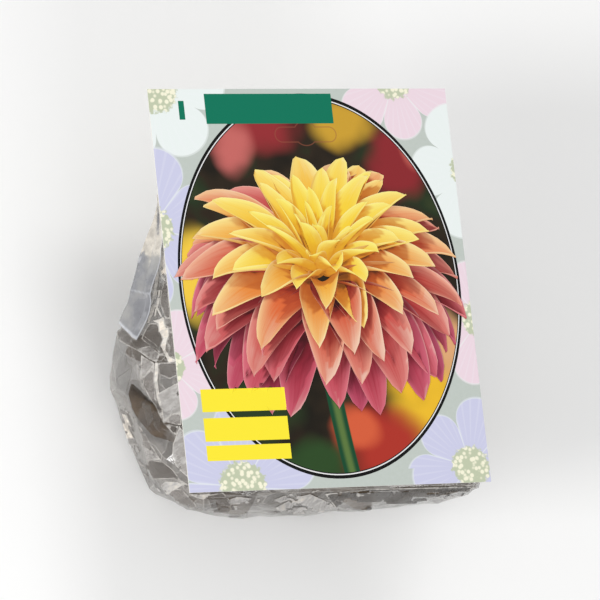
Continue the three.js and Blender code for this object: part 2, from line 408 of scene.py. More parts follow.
def print_picture(g, x, y, here):
    """The oval's blurred garden, without the bloom that lies over it."""
    picture = g.ramp(g.noise(here, 0.035, 2.0, 0.6), [
        (0.35, ink(26, 22, 14)), (0.5, ink(44, 34, 22)), (0.62, ink(36, 50, 28)), (0.8, ink(58, 66, 36))])
    warp = g.mul(g.sub(g.noise(here, 0.045, 1.5, 0.5), 0.5), 2.2)
    for middle, radii, colour in BLURS:
        reach = g.add(oval_reach(g, x, y, middle, radii), warp)
        picture = g.mix(g.ease(reach, 1.9, 0.2), picture, colour)
    # The bloom's stem, bending down out of the picture
    bend = g.mul(g.mul(y, y), 0.0009)
    from_stem = g.math("ABSOLUTE", g.sub(x, g.add(bend, -1.5)))
    stem = g.mul(g.ease(from_stem, 4.6, 3.9), g.math("LESS_THAN", y, -30.0))
    light = g.ease(from_stem, 3.0, 0.4)
    return g.mix(stem, picture, g.mix(light, ink(20, 74, 46), ink(92, 120, 62)))


SLOT_MIDDLE = (1.4, 76.7)
SLOT_HALF_WIDTH = 16.4
SLOT_END_RADIUS = 3.8
SLOT_HUMP_RADIUS = 6.2


def hanging_slot(g, x, y):
    """The faint scored outline of the hanging slot: a long slot with a wider middle, still closed."""
    side = g.math("ABSOLUTE", g.sub(x, SLOT_MIDDLE[0]))
    rise = g.sub(y, SLOT_MIDDLE[1])
    past = g.most(g.sub(side, SLOT_HALF_WIDTH - SLOT_END_RADIUS), 0.0)
    bar = g.sub(g.vector("LENGTH", g.join(past, rise)), SLOT_END_RADIUS)
    hump = g.sub(g.vector("LENGTH", g.join(side, g.sub(rise, 0.6))), SLOT_HUMP_RADIUS)
    edge = g.math("ABSOLUTE", g.math("MINIMUM", bar, hump))
    return g.ease(edge, 0.42, 0.12, 0.0, 0.5)


def card_material():
    material, g, shader = new_material("printed_card", Specular_IOR_Level=0.2)
    place = g.place()
    here = g.vector("SUBTRACT", place, (CARD_MIDDLE[0], CARD_MIDDLE[1], 0.0))
    x, y, _ = g.split(here)
    flat = g.join(x, y)
    colour = g.mix(g.noise(flat, 0.6, 4.0), GROUND, ink(200, 207, 202))
    blossom = pale_blossom_group()
    for middle, size, petals, turn, tone in BLOSSOMS:
        out = place_group(g, blossom, Place=flat, Middle=(middle[0], middle[1], 0.0), Size=size,
                          Petals=petals, Turn=turn)
        veined = g.mix(g.mul(out["Vein"], 0.14), tone, ink(246, 247, 252))
        rimmed = g.mix(g.mul(out["Rim"], 0.6), veined, ink(240, 246, 244))
        colour = g.mix(g.most(out["Petal"], g.mul(out["Rim"], 0.5)), colour, rimmed)
        stamens = g.mix(out["Stamen"], ink(196, 204, 176), ink(250, 247, 222))
        colour = g.mix(out["Stamen Rim"], colour, stamens)
    reach = g.math("SQRT", oval_reach(g, x, y, OVAL_MIDDLE, OVAL_RADII))
    for rim, tone in OVAL_RIMS:
        colour = g.mix(g.math("LESS_THAN", reach, rim), colour, tone)
    colour = g.mix(g.math("LESS_THAN", reach, PICTURE_RIM), colour, print_picture(g, x, y, flat))
    colour = g.mix(hanging_slot(g, x, y), colour, ink(150, 84, 62))
    for bar in TITLE_BARS:
        colour = g.mix(box_mask(g, x, y, *bar), colour, TITLE_GREEN)
    for bar in LABEL_BARS:
        colour = g.mix(box_mask(g, x, y, *bar), colour, LABEL_YELLOW)
    # Fine press grain, then bare board on the back and the cut edges
    grain = g.noise(place, 2.2, 2.0)
    colour = g.mix(0.05, colour, g.mix(grain, ink(70, 70, 70), ink(255, 255, 255)), "OVERLAY")
    facing = g.split(g.put("ShaderNodeNewGeometry").outputs["Normal"])[2]
    front = g.math("GREATER_THAN", facing, 0.5)
    board = g.mix(g.noise(g.vector("MULTIPLY", place, (0.05, 0.6, 0.05)), 1.0, 5.0, 0.7),
                  ink(214, 211, 203), ink(232, 230, 224))
    g.feed(shader.inputs["Base Color"], g.mix(front, board, colour))
    g.feed(shader.inputs["Roughness"], g.ease(grain, 0.3, 0.7, 0.28, 0.36))
    bumped(g, shader, g.noise(place, 0.9, 4.0, 0.6), 0.00004, 0.5)
    return material


# The printed bloom: a dahlia modelled petal by petal, then pressed flat onto the card

PETALS = 118
GOLDEN_ANGLE = math.radians(137.508)
BLOOM_TILT = math.radians(52)
BLOOM_MIDDLE = (1.0, 2.0)
BLOOM_REACH = (5, 47, 77)  # where a petal starts, and how far the innermost and the outermost ones reach
BLOOM_LIFT, BLOOM_RELIEF = 0.05, 0.3  # how far the print's bloom lies over the card, and how thick it is


def bloom_petals():
    """A dahlia that faces up: places (petal, across, along, xyz), each petal's row and random draw."""
    rng = np.random.default_rng(11)
    index = np.arange(PETALS)
    row = (index + 0.5) / PETALS
    theta = np.radians(6 + 116 * row ** 0.66 + rng.uniform(-5, 5, PETALS))
    phi = index * GOLDEN_ANGLE + rng.uniform(-0.16, 0.16, PETALS)
    grown = np.clip(row / 0.75, 0, 1)
    root, inner, outer = BLOOM_REACH
    tip_reach = blend(inner, outer, np.clip(row / 0.5, 0, 1) ** 0.7) + rng.uniform(-6, 4, PETALS)
    half = (4.4 + 13.5 * grown ** 0.75) * rng.uniform(0.82, 1.16, PETALS)
    cup = 1.0 - 0.5 * grown + rng.uniform(-0.15, 0.2, PETALS)
    hook = rng.uniform(-2.4, 2.4, PETALS)

    across = np.linspace(-1, 1, 13)[None, :, None]
    along = np.linspace(0.16, 1.0, 19)[None, None, :]

    def each(values):
        return values[:, None, None]

    droop = each(np.radians(8) * row) * np.clip(along - 0.7, 0, 1) * 2
    lean = each(theta) * (0.8 + 0.2 * along ** 1.5) + droop
    reach = blend(root, each(tip_reach), along)
    pointed = 0.5 * smooth(0.6, 1.0, along) * (1 - along)
    width = each(half) * (2.3 * along ** 0.8 * (1 - along) ** 0.62 - pointed)
    wave = 1.3 * np.sin(along * 8 + each(phi) * 3 + across) * across ** 2 * each(0.3 + grown)
    sin_lean, cos_lean = np.sin(lean), np.cos(lean)
    sin_phi, cos_phi = np.sin(each(phi)), np.cos(each(phi))
    ones = np.ones_like(lean + across)
    out = np.stack([sin_lean * cos_phi * ones, sin_lean * sin_phi * ones, cos_lean * ones], -1)
    inwards = np.stack([-cos_lean * cos_phi * ones, -cos_lean * sin_phi * ones, sin_lean * ones], -1)
    aside = np.stack([-sin_phi * ones, cos_phi * ones, 0 * ones], -1)
    fold = each(cup) * width
    hooked = each(hook) * np.clip((along - 0.86) / 0.14, 0, 1) ** 2
    sideways = width * np.sin(across * (0.75 + 0.5 * each(cup))) + hooked
    lifted = fold * (1 - np.cos(across * 1.35)) + wave - 0.6 * (1 - np.abs(across)) ** 3 * each(grown) * 1.2
    places = reach[..., None] * out + sideways[..., None] * aside + lifted[..., None] * inwards
    turn = np.array(Matrix.Rotation(-0.06, 3, "Z") @ Matrix.Rotation(-BLOOM_TILT, 3, "X"))
    return places @ turn.T, row, rng.uniform(0, 1, PETALS)


def bloom_shade(places, faces):
    """How lit each place of the modelled bloom is: open sky, and a soft light from the upper left."""
    tree = BVHTree.FromPolygons([tuple(p) for p in places], faces)
    mesh = bpy.data.meshes.new("bloom_check")
    mesh.from_pydata([tuple(p) for p in places], [], faces)
    ways = np.zeros(len(places) * 3)
    mesh.vertex_normals.foreach_get("vector", ways)
    bpy.data.meshes.remove(mesh)
    ways = ways.reshape(-1, 3)
    ways *= np.where(ways[:, 2:] < 0, -1, 1)
    rng = np.random.default_rng(4)
    sky = rng.normal(size=(18, 3))
    sky[:, 2] = np.abs(sky[:, 2]) + 0.35
    sky /= np.linalg.norm(sky, axis=1, keepdims=True)
    rays = [Vector(ray) for ray in sky]
    sun = Vector((-0.35, 0.55, 0.76))
    shade = np.zeros(len(places))
    for i, (place, way) in enumerate(zip(places, ways)):
        start = Vector(place) + Vector(way) * 0.5
        clear = sum(tree.ray_cast(start, ray, 24.0)[0] is None for ray in rays) / len(rays)
        lit = max(0.0, sun.dot(way)) * (tree.ray_cast(start, sun, 40.0)[0] is None)
        shade[i] = 0.66 * clear ** 0.8 + 0.46 * lit
    return shade


def printed_bloom():
    """The print's large bloom as a thin relief, with its shading kept for its material."""
    grid, row, draw = bloom_petals()
    petals, wide, long, _ = grid.shape
    places = grid.reshape(-1, 3)
    faces = []
    for petal in range(petals):
        for i in range(wide - 1):
            for j in range(long - 1):
                corner = (petal * wide + i) * long + j
                faces.append((corner, corner + long, corner + long + 1, corner + 1))
    shade = bloom_shade(places, faces)
    depth = (places[:, 2] - places[:, 2].min()) / np.ptp(places[:, 2])
    flat = np.column_stack([places[:, 0] + BLOOM_MIDDLE[0] + CARD_MIDDLE[0],
                            places[:, 1] + BLOOM_MIDDLE[1] + CARD_MIDDLE[1],
                            CARD_TOP + BLOOM_LIFT + BLOOM_RELIEF * depth])
    facing = []
    for face in faces:
        a, b, c = (flat[k] for k in (face[0], face[1], face[2]))
        turned = (b[0] - a[0]) * (c[1] - a[1]) - (b[1] - a[1]) * (c[0] - a[0])
        facing.append(face if turned > 0 else tuple(reversed(face)))
    for left, right, low, high in LABEL_BARS:
        # Petals pass under the bars that are printed over them
        x, y = flat[:, 0] - CARD_MIDDLE[0], flat[:, 1] - CARD_MIDDLE[1]
        flat[(x > left) & (x < right) & (y > low) & (y < high), 2] = CARD_TOP - 0.1
    bloom = piece_from("printed_bloom", flat, facing)
    shape = (petals, wide, long)
    for name, values in (("row", row[:, None, None]), ("draw", draw[:, None, None]),
                         ("across", np.linspace(-1, 1, wide)[None, :, None]),
                         ("along", np.linspace(0, 1, long)[None, None, :])):
        note(bloom, name, np.broadcast_to(values, shape).ravel())
    note(bloom, "shade", shade)
    dress(bloom, bloom_material())
    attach(bloom, "root")


def bloom_material():
    material, g, shader = new_material("bloom_print", Specular_IOR_Level=0.2)
    row, draw, shade = g.attribute("row"), g.attribute("draw"), g.attribute("shade")
    across, along = g.attribute("across"), g.attribute("along")
    place = g.place()
    turn = g.add(row, g.mul(g.sub(draw, 0.5), 0.14))
    heart = g.ramp(turn, [
        (0.0, ink(248, 206, 44)), (0.2, ink(250, 212, 60)), (0.32, ink(244, 176, 62)),
        (0.44, ink(228, 112, 56)), (0.58, ink(204, 72, 60)), (0.75, ink(184, 50, 66)),
        (1.0, ink(164, 40, 72))])
    tip = g.ramp(turn, [
        (0.0, ink(255, 246, 130)), (0.25, ink(255, 240, 136)), (0.4, ink(252, 222, 150)),
        (0.55, ink(240, 176, 146)), (0.75, ink(222, 118, 130)), (1.0, ink(204, 92, 120))])
    # Fine long veins: many across, few along
    ribs = g.join(g.mul(across, 9.0), g.mul(along, 1.3), g.mul(draw, 40.0))
    veins = g.noise(ribs, 1.0, 4.0, 0.65)
    side = g.math("ABSOLUTE", across)
    outwards = g.add(g.mul(along, 0.9), g.mul(g.math("POWER", side, 2.0), 0.5))
    pale = g.ease(g.add(outwards, g.mul(g.sub(veins, 0.5), 0.5)), 0.45, 1.25)
    colour = g.mix(pale, heart, tip)
    colour = g.mix(g.ease(veins, 0.5, 0.72, 0.0, 0.3), colour, g.mix(0.35, heart, ink(150, 40, 40)))
    rim = g.ease(side, 0.9, 1.0, 0.0, 0.5)
    colour = g.mix(rim, colour, g.mix(0.5, tip, ink(255, 236, 214)))
    gloom = g.ramp(turn, [(0.0, ink(226, 160, 30)), (0.25, ink(214, 130, 34)), (0.45, ink(160, 50, 28)),
                          (0.6, ink(116, 24, 28)), (1.0, ink(88, 16, 32))])
    lit = g.add(shade, g.mul(g.sub(veins, 0.5), 0.12))
    colour = g.mix(g.ease(lit, 0.08, 0.68), gloom, colour)
    deepest = g.mix(g.ease(turn, 0.2, 0.5), ink(150, 84, 20), ink(52, 12, 14))
    colour = g.mix(g.ease(lit, 0.16, 0.02), colour, deepest)
    colour = g.mix(g.ease(lit, 0.8, 1.1, 0.0, 0.35), colour, ink(255, 246, 226))
    x, y, _ = g.split(g.vector("SUBTRACT", place, (CARD_MIDDLE[0], CARD_MIDDLE[1], 0.0)))
    for bar in LABEL_BARS:
        colour = g.mix(box_mask(g, x, y, *bar), colour, LABEL_YELLOW)
    g.feed(shader.inputs["Base Color"], colour)
    grain = g.noise(place, 2.2, 2.0)
    g.feed(shader.inputs["Roughness"], g.ease(grain, 0.3, 0.7, 0.28, 0.36))
    return material


# Floor, light and camera

def stage():
    bpy.ops.mesh.primitive_plane_add(size=8.0, location=(0.0, 0.0, 0.0))
    floor = bpy.context.active_object
    floor.name = "floor"
    material, g, shader = new_material("floor_paper", Roughness=0.9, Specular_IOR_Level=0.1)
    g.feed(shader.inputs["Base Color"], g.mix(g.noise(g.place(), 0.01, 2.0), (0.97, 0.97, 0.97, 1.0),
                                              (0.99, 0.99, 0.98, 1.0)))
    dress(floor, material)


# Soft boxes: place and size in metres, and watts
SOFT_BOXES = {
    "softbox_left": ((-2.08, -0.4, 0.96), (0.8, 0.56), 29.4),
    "softbox_front": ((0.56, -2.08, 1.25), (1.28, 0.48), 14.1),
    "softbox_back": ((0.8, 1.76, 1.89), (1.28, 0.64), 15.9),
}
LIGHTS_AIM = Vector((0.0, 0.0, 0.05))
ROOM_LIGHT = 0.52


def light_and_camera():
    world = bpy.data.worlds.new("studio")
    bpy.context.scene.world = world
    world.use_nodes = True
    world.node_tree.nodes["Background"].inputs["Color"].default_value = (1.0, 1.0, 1.0, 1.0)
    world.node_tree.nodes["Background"].inputs["Strength"].default_value = ROOM_LIGHT
    for name, (place, size, watts) in SOFT_BOXES.items():
        light = bpy.data.lights.new(name, "AREA")
        light.shape = "RECTANGLE"
        light.size, light.size_y = size
        light.energy = watts
        lamp = bpy.data.objects.new(name, light)
        bpy.context.scene.collection.objects.link(lamp)
        lamp.location = place
        lamp.rotation_mode = "QUATERNION"
        lamp.rotation_quaternion = (Vector(place) - LIGHTS_AIM).to_track_quat("Z", "Y")
    camera = bpy.data.cameras.new("camera")
    camera.sensor_width = SENSOR_WIDTH
    camera.lens = CAMERA_LENS
    camera.clip_end = 20.0
    holder = bpy.data.objects.new("camera", camera)
    bpy.context.scene.collection.objects.link(holder)
    turn = Matrix((VIEW_RIGHT, VIEW_UP, VIEW_BACK)).transposed().to_4x4()
    holder.matrix_world = Matrix.Translation(CAMERA_PLACE) @ turn
    bpy.context.scene.camera = holder
    bpy.context.scene.view_settings.view_transform = "Standard"


# The film bag

# How far the slack film lies inwards: along the left side by y, and along the lower end by x
LEFT_SLACK = [(-98.0, -2.0), (-87.0, -4.0), (-80.0, -3.2), (-74.0, -0.5), (-66.0, 1.6), (-56.0, 3.6),
              (-45.0, 4.0), (-38.0, 2.4), (-32.0, 0.4), (-25.0, 0.0), (-14.0, 0.6), (-8.0, 1.4), (0.0, 3.8),
              (10.0, 4.2), (17.0, 3.0), (28.0, 1.0), (40.0, 0.0)]
END_SLACK = [(0.0, 0.0), (25.0, 1.6), (60.0, 2.2), (74.0, 2.0), (86.0, 0.4)]


def bag_outline(z):
    """The bag's sides and corner radii at one height, as in the CAD."""
    depth = (BAG_DEPTH - z) / BAG_DEPTH
    under = max(0.0, BAG_BACK_ROUND - z)
    back_inset = BAG_BACK_ROUND - math.sqrt(BAG_BACK_ROUND ** 2 - under ** 2)
    end_bulge = BAG_END_BULGE * smooth(0, 0.35, depth) - BAG_END_DRAW_IN * smooth(0.5, 0.95, depth)
    neck = blend(BAG_NECK_Y, BAG_HEEL_Y, depth)
    end = BAG_END_Y + BAG_END_BULGE - end_bulge + 0.5 * back_inset
    neck_corner = blend(*NECK_CORNER, depth)
    roundest = neck - end - neck_corner - 2
    full_width = blend(BAG_FRONT_HALF_WIDTH, BAG_BELLY_HALF_WIDTH, smooth(0, 0.6, depth))
    return {
        "taper": BAG_END_TAPER * depth,
        "half_width": full_width - 0.8 * back_inset,
        "neck": neck, "end": end, "neck_corner": neck_corner,
        "left_corner": min(roundest, blend(*END_LEFT_CORNER, smooth(0, 0.8, depth))),
        "right_corner": min(roundest, blend(*END_RIGHT_CORNER, smooth(0.1, 0.9, depth))),
    }


def bag_ring(z, corner_steps=12, edge_steps=10):
    """The places round the bag at one height, anticlockwise from its right neck corner."""
    o = bag_outline(z)
    wide = o["half_width"]
    corners = [(wide, o["neck"], o["neck_corner"], -1), (-wide, o["neck"], o["neck_corner"], -1),
               (-wide, o["end"], o["left_corner"], 1), (wide, o["end"], o["right_corner"], 1)]

    def on_corner(quarter, turn):
        x, y, radius, inwards = corners[quarter]
        angle = math.pi / 2 * (quarter + turn)
        return Vector((x - math.copysign(radius, x) + radius * math.cos(angle),
                       y + inwards * radius + radius * math.sin(angle), z))

    ring = []
    for quarter in range(4):
        ring += [on_corner(quarter, step / corner_steps) for step in range(corner_steps + 1)]
        start, end = on_corner(quarter, 1), on_corner((quarter + 1) % 4, 0)
        ring += [start.lerp(end, step / edge_steps) for step in range(1, edge_steps)]
    for place in ring:
        place.x *= 1 - o["taper"] * smooth(BAG_HEEL_Y, BAG_END_Y, place.y)
        # Slack film lies a little in or out from the full shape
        low = smooth(BAG_DEPTH, 50.0, z)
        place.x += low * smooth(-20.0, -70.0, place.x) * np.interp(place.y, *zip(*LEFT_SLACK))
        place.y += low * smooth(-70.0, -95.0, place.y) * np.interp(place.x, *zip(*END_SLACK))
    return ring


# Creases on the bag's left side and along its lower end: points, width to each side, rise. A point is a pixel
# of the photo, or a place in millimetres where the crease runs on out of sight.
FILM_CREASES = [
    ([(-92.4, -10.0, 28.0), (119, 341), (137, 351), (155, 361), (-79.3, -31.1, 66.0)], 6.0, 2.2),
    ([(156, 364), (155, 380), (157, 398), (163, 422)], 5.0, 1.6),
    ([(-88.0, -24.0, 46.0), (-88.3, -31.0, 44.5), (139, 384), (150, 402), (163, 423), (175, 435)], 4.5, 1.5),
    ([(-92.4, -41.1, 22.0), (130, 420), (145, 440), (159, 459)], 5.5, 1.8),
    ([(-86.0, -61.7, 14.0), (-88.5, -66.0, 38.0), (150, 452), (158, 461)], 4.5, -1.6),
    ([(163, 423), (-79.1, -62.6, 66.0)], 5.0, 1.4),
    ([(178, 428), (173, 445), (176, 465), (185, 480)], 5.0, -1.5),
    ([(-78.0, -96.0, 66.0), (195, 508), (-60.0, -100.5, 30.0)], 6.0, 1.8),
    ([(-71.7, -97.5, 70.0), (222, 512)], 5.0, -1.4),
    ([(-60.0, -101.0, 60.0), (-44.0, -101.0, 61.0)], 4.0, 1.4),
    ([(-53.6, -98.5, 70.0), (262, 505), (-22.0, -103.0, 47.0)], 5.0, 1.8),
    ([(-54.3, -100.5, 58.0), (-34.9, -98.0, 70.0)], 4.0, 1.4),
    ([(278, 494), (300, 510)], 6.0, -1.6),
    ([(345, 497), (375, 505)], 5.0, 1.6),
    ([(30.0, -99.0, 66.0), (58.0, -100.0, 52.0)], 6.0, -1.5),
    ([(20.0, -99.5, 68.0), (44.0, -100.5, 60.0), (76.0, -97.0, 62.0)], 5.0, 1.5),
]


def surface_of(piece):
    """A piece's surface, to cast rays at."""
    return BVHTree.FromObject(piece, bpy.context.evaluated_depsgraph_get())


def on_photo(surface, pixel):
    """Where the camera's ray through a pixel of the photo meets a surface, to a tenth of a millimetre."""
    focal = CAMERA_LENS / SENSOR_WIDTH * PHOTO_SIDE
    right, up = (pixel[0] - PHOTO_SIDE / 2) / focal, (PHOTO_SIDE / 2 - pixel[1]) / focal
    ray = Vector(VIEW_RIGHT) * right + Vector(VIEW_UP) * up - Vector(VIEW_BACK)
    return tuple(round(c / MM, 1) for c in surface.ray_cast(CAMERA_PLACE, ray)[0])


# Film folded over on itself, outlined on the photo: tone (dark 0, cream 1), share that it hides, and corners
# as pixels of the photo
# A fold's tone paints light on the film: cream tones are painted glints, dark tones painted shade
FOLDS = [
    (0.70, 0.65, [(137.5, 349.2), (150, 345.8), (160.8, 354.2), (157.5, 362), (150, 359.2)]),
    (0.20, 0.40, [(115.8, 327.5), (119, 325), (135.8, 340), (140.8, 333.3), (155, 343.3), (166.7, 356.7),
      (161.7, 361.7), (150, 357.5), (118.3, 340)]),
    (0.64, 0.65, [(141.7, 355), (154.2, 362.5), (155, 364.2), (143.7, 379.2), (140.8, 378.3)]),
    (0.44, 0.55, [(143.7, 379.2), (155, 364.2), (154.7, 380), (155.8, 398.3), (162.5, 408.3),
      (164.2, 423.3), (142.5, 385)]),
    (0.76, 0.70, [(157.5, 398.3), (158.3, 393.3), (180, 381.7), (181.7, 413.3), (171.7, 415),
      (164.2, 423.3), (161.7, 408.3)]),
    (0.56, 0.60, [(164.2, 422.5), (172.5, 414.2), (181.7, 413.3), (182, 425), (166.7, 422.5)]),
    (0.12, 0.50, [(164.2, 423.3), (179.2, 425.8), (176.7, 435.8), (173.3, 433.3)]),
    (0.70, 0.70, [(180, 425.8), (185, 433.3), (190, 468.3), (189.2, 478.3), (176.7, 466.7), (172.5, 456.7),
      (173.3, 445), (177.5, 433.3)]),
    (0.50, 0.40, [(113.3, 400.8), (121.7, 406.7), (138.3, 423.3), (150, 441.7), (161.7, 460), (155, 455),
      (141.7, 445), (127.5, 445), (125, 441.7), (116.7, 413.3)]),
    (1.00, 0.95, [(119.2, 413.3), (126.3, 415.2), (132.1, 430.1), (134.1, 427.2), (136.4, 432.7),
      (142.5, 438.3), (126.7, 439.2), (125, 433.3)]),
    (0.72, 0.50, [(127.5, 445.8), (134.2, 444.2), (146.7, 447.5), (155, 453.3), (162.5, 460), (150, 460),
      (144.2, 464.2), (139.2, 469.2), (132.5, 456.7)]),
    (0.20, 0.50, [(140.8, 468.3), (150, 460), (163.3, 461.7), (173.3, 470), (181.7, 480), (190, 485),
      (186.7, 488.3), (175, 478.3), (158.3, 478.3), (148.3, 476.7), (144.2, 473.3)]),
    (0.08, 0.50, [(140.8, 471.7), (148.3, 477.5), (156.7, 480)]),
    (0.84, 0.60, [(156.7, 486.7), (166.7, 480.8), (178.3, 481.7), (183.3, 485), (170, 491.7),
      (167.2, 495.9), (161.4, 491.8)]),
    (0.40, 0.50, [(168.8, 492.5), (173.8, 487.5), (182.5, 488.8), (195, 502.5), (198.8, 510), (187.5, 505),
      (175, 501.3), (170, 497.5)]),
    (0.24, 0.50, [(206.3, 495), (222.5, 492.5), (232.5, 502.5), (241.3, 517), (213, 515.3), (210, 507.5)]),
    (0.92, 0.60, [(190, 493.8), (210, 493.8), (203.8, 498.8), (197.5, 497.5)]),
    (0.80, 0.55, [(226.3, 500), (237.5, 496.3), (260, 498.8), (257.5, 502), (230, 503.8)]),
    (0.74, 0.50, [(240, 517), (232.5, 505), (257.5, 506.3), (250, 512.5)]),
    (0.30, 0.50, [(245, 517), (257.5, 511.3), (275, 511.3), (281.3, 515), (267.5, 517)]),
    (0.84, 0.60, [(275, 507.5), (295, 497.5), (310, 493.8), (330, 502.5), (340, 510.5), (322.5, 513),
      (285, 513)]),
    (0.80, 0.50, [(272.5, 500), (290, 493.8), (320, 489.5), (300, 496.3), (280, 502.5)]),
    (0.97, 0.80, [(152.5, 305), (155.8, 305), (154.2, 311.7), (149.2, 323.3), (147.5, 322.9),
      (150.4, 313.3)]),
    (0.97, 0.80, [(157.5, 298.3), (160, 298.3), (159.6, 303.3), (157.1, 310), (156.3, 315), (155, 316.7),
      (155.4, 311.7), (156.7, 305)]),
    (0.90, 0.70, [(155.8, 304.2), (157.9, 306.7), (163.3, 317.5), (161.7, 317.5), (157.9, 310.8),
      (154.6, 305)]),
    (1.00, 0.90, [(153.3, 320.8), (159.2, 319.6), (164.2, 317.5), (165, 323.3), (166.7, 328.3),
      (168.8, 327.5), (169.2, 335), (167.5, 340), (168.8, 348.3), (169.6, 356.7), (175.8, 360),
      (175.4, 361.7), (169.2, 362.5), (165.8, 355), (164.2, 345), (164.2, 338.3), (160, 331.7),
      (159.2, 323.3)]),
    (0.95, 0.70, [(158.8, 290), (160.8, 290), (159.6, 297.5), (157.9, 297.5)]),
    (0.85, 0.60, [(153.3, 295), (156.7, 290), (157.9, 290), (155.4, 299.2), (153.8, 300)]),
    (0.18, 0.50, [(150, 323.3), (159.2, 323.3), (160, 331.7), (164.2, 338.3), (164.2, 345), (165.8, 355),
      (160, 351.7), (145, 341.7), (142, 338.7), (145, 331.2)]),
    (0.50, 0.40, [(164.2, 317.5), (171.7, 317.5), (175.8, 360), (169.6, 356.7), (168.8, 348.3),
      (167.5, 340), (169.2, 335), (168.8, 327.5), (166.7, 328.3)]),
    (0.95, 0.80, [(155.8, 362.5), (158.2, 362.5), (158.8, 372), (157.8, 380), (160, 396), (163, 408),
      (164, 422), (161.5, 410), (157, 398), (155, 380)]),
    (0.25, 0.45, [(158.5, 362.5), (176.7, 362.5), (178.5, 375), (170, 379), (159.2, 374)]),
    (0.93, 0.70, [(162.6, 246.8), (164.8, 255.5), (167, 270.5), (164.8, 280.5), (161.8, 278), (160, 268),
      (161, 258)]),
    (0.35, 0.50, [(164.8, 280.5), (168.3, 280.5), (169.5, 300.5), (171.5, 319.3), (165.8, 318), (160, 303),
      (161.4, 291.8), (163.3, 283)]),
    (0.90, 0.70, [(155.8, 275.5), (157.6, 268), (158.9, 275.5), (157, 286.8), (154.5, 296.8), (152, 305.5),
      (150.8, 304.3), (153.9, 291.8)]),
]

# The dark folds along the lower end, painted shade, run on past the bag's outline, so their corners are
# millimetres to the right of the origin and above it, as the camera sees them
END_FOLDS = [
    (0.00, 0.80, [(30.0, -81.1), (49.5, -79.0), (104.3, -78.5), (98.0, -86.5), (75.0, -90.0), (67.0, -92.5),
      (50.0, -93.0), (38.5, -93.0), (32.5, -84.6)]),
    (0.10, 0.70, [(84.0, -79.0), (104.3, -77.5), (103.5, -79.0), (91.0, -85.2), (84.0, -85.8)]),
]


def fold_outlines():
    """The drawn folds with their corners in millimetres across the camera's view."""
    bag = surface_of(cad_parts["film_bag"])
    for tone, cover, pixels in FOLDS:
        places = np.array([on_photo(bag, pixel) for pixel in pixels])
        corners = np.column_stack([places @ np.array(VIEW_RIGHT), places @ np.array(VIEW_UP)])
        yield tone, cover, [tuple(corner) for corner in corners.round(1).tolist()]
    yield from END_FOLDS



# Scattered crumples: how many, half width, half length, slope and seed
CRUMPLES = [(46, 15.0, 42.0, 0.14, 3), (70, 7.0, 22.0, 0.15, 5)]
CRUMPLE_DEPTH = 18.0  # a crumple reaches no further in or out, so that it stays on its own side of the bag


def from_line(places, points):
    """How far each place is from a chain of straight lines."""
    reach = np.full(len(places), 1e3)
    for start, end in zip(points, points[1:]):
        start, run = np.array(start), np.array(end) - np.array(start)
        share = np.clip((places - start) @ run / (run @ run), 0, 1)
        reach = np.minimum(reach, np.linalg.norm(places - start - share[:, None] * run, axis=1))
    return reach


def crease_height(places):
    """Straight-sided folds along the listed creases."""
    bag = surface_of(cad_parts["film_bag"])
    height = 0
    for points, width, rise in FILM_CREASES:
        line = [on_photo(bag, point) if len(point) == 2 else point for point in points]
        height = height + rise * np.clip(1 - from_line(places, line) / width, 0, 1)
    return height


def crumple_height(places, ways, count, width, length, slope, seed):
    """Scattered straight-edged crumples, as diamonds with a sharp long ridge, up or down."""
    rng = np.random.default_rng(seed)
    height = np.zeros(len(places))
    for _ in range(count):
        # The middle is the place nearest to a point drawn in the bag's box
        drawn = rng.uniform((-96, -106, 4), (96, 54, BAG_DEPTH - 4))
        drawn[rng.integers(2)] *= 1.3
        centre = np.linalg.norm(places - drawn, axis=1).argmin()
        side = np.cross(ways[centre], rng.normal(size=3))
        side /= np.linalg.norm(side)
        off = places - places[centre]
        half, run = width * rng.uniform(0.6, 1.5), length * rng.uniform(0.6, 1.5)
        from_ridge = np.abs(off @ side) / half
        from_middle = np.abs(off @ np.cross(ways[centre], side)) / run
        near = np.abs(off @ ways[centre]) < CRUMPLE_DEPTH
        height += rng.choice([-1.0, 1.0]) * slope * half * np.clip(1 - from_ridge - from_middle, 0, 1) * near
    return height


def sharp_edges(film, degrees):
    """The film's folds as two lists of lines: ridges that stand out and valleys that go in."""
    mesh = bmesh.new()
    mesh.from_mesh(film.data)
    ridges, valleys = [], []
    for edge in mesh.edges:
        if len(edge.link_faces) == 2 and edge.calc_face_angle() > math.radians(degrees):
            ends = [np.array(vert.co) / MM for vert in edge.verts]
            (ridges if edge.is_convex else valleys).append(ends)
    mesh.free()
    return ridges, valleys


def film_panes(film, degrees):
    """The film's flat panes: a tree to find a face by, and one tone for each face, shared by its pane."""
    mesh = bmesh.new()
    mesh.from_mesh(film.data)
    mesh.faces.ensure_lookup_table()
    tones = [None] * len(mesh.faces)
    for first in mesh.faces:
        if tones[first.index] is not None:
            continue
        pane, open_faces, middle = {first.index}, [first], Vector()
        while open_faces:
            face = open_faces.pop()
            middle += face.calc_center_median() * face.calc_area()
            for edge in face.edges:
                for other in edge.link_faces:
                    if other.index not in pane and face.normal.angle(other.normal) < math.radians(degrees):
                        pane.add(other.index)
                        open_faces.append(other)
        middle /= sum(mesh.faces[index].calc_area() for index in pane)
        # The tone comes from where the pane is, so that it is the same on every run
        tone = min(max(0.5 + 0.9 * noise(middle / (6 * MM)), 0.0), 1.0)
        for index in pane:
            tones[index] = tone
    tree = BVHTree.FromBMesh(mesh)
    mesh.free()
    return tree, tones


# Punched vent holes: a point that the hole's axis goes through, and the axis
VENT_RADIUS = 3.0
NEAR_VENT = 14.0
VENTS = [((15.0, -103.0, 63.0), (0, 1, 0)), ((85.0, -24.0, 62.0), (1, 0, 0)),
         ((-85.0, -24.0, 62.0), (1, 0, 0)), ((38.0, 10.0, 33.0), (0, 1, -1)),
         ((-38.0, 10.0, 33.0), (0, 1, -1))]


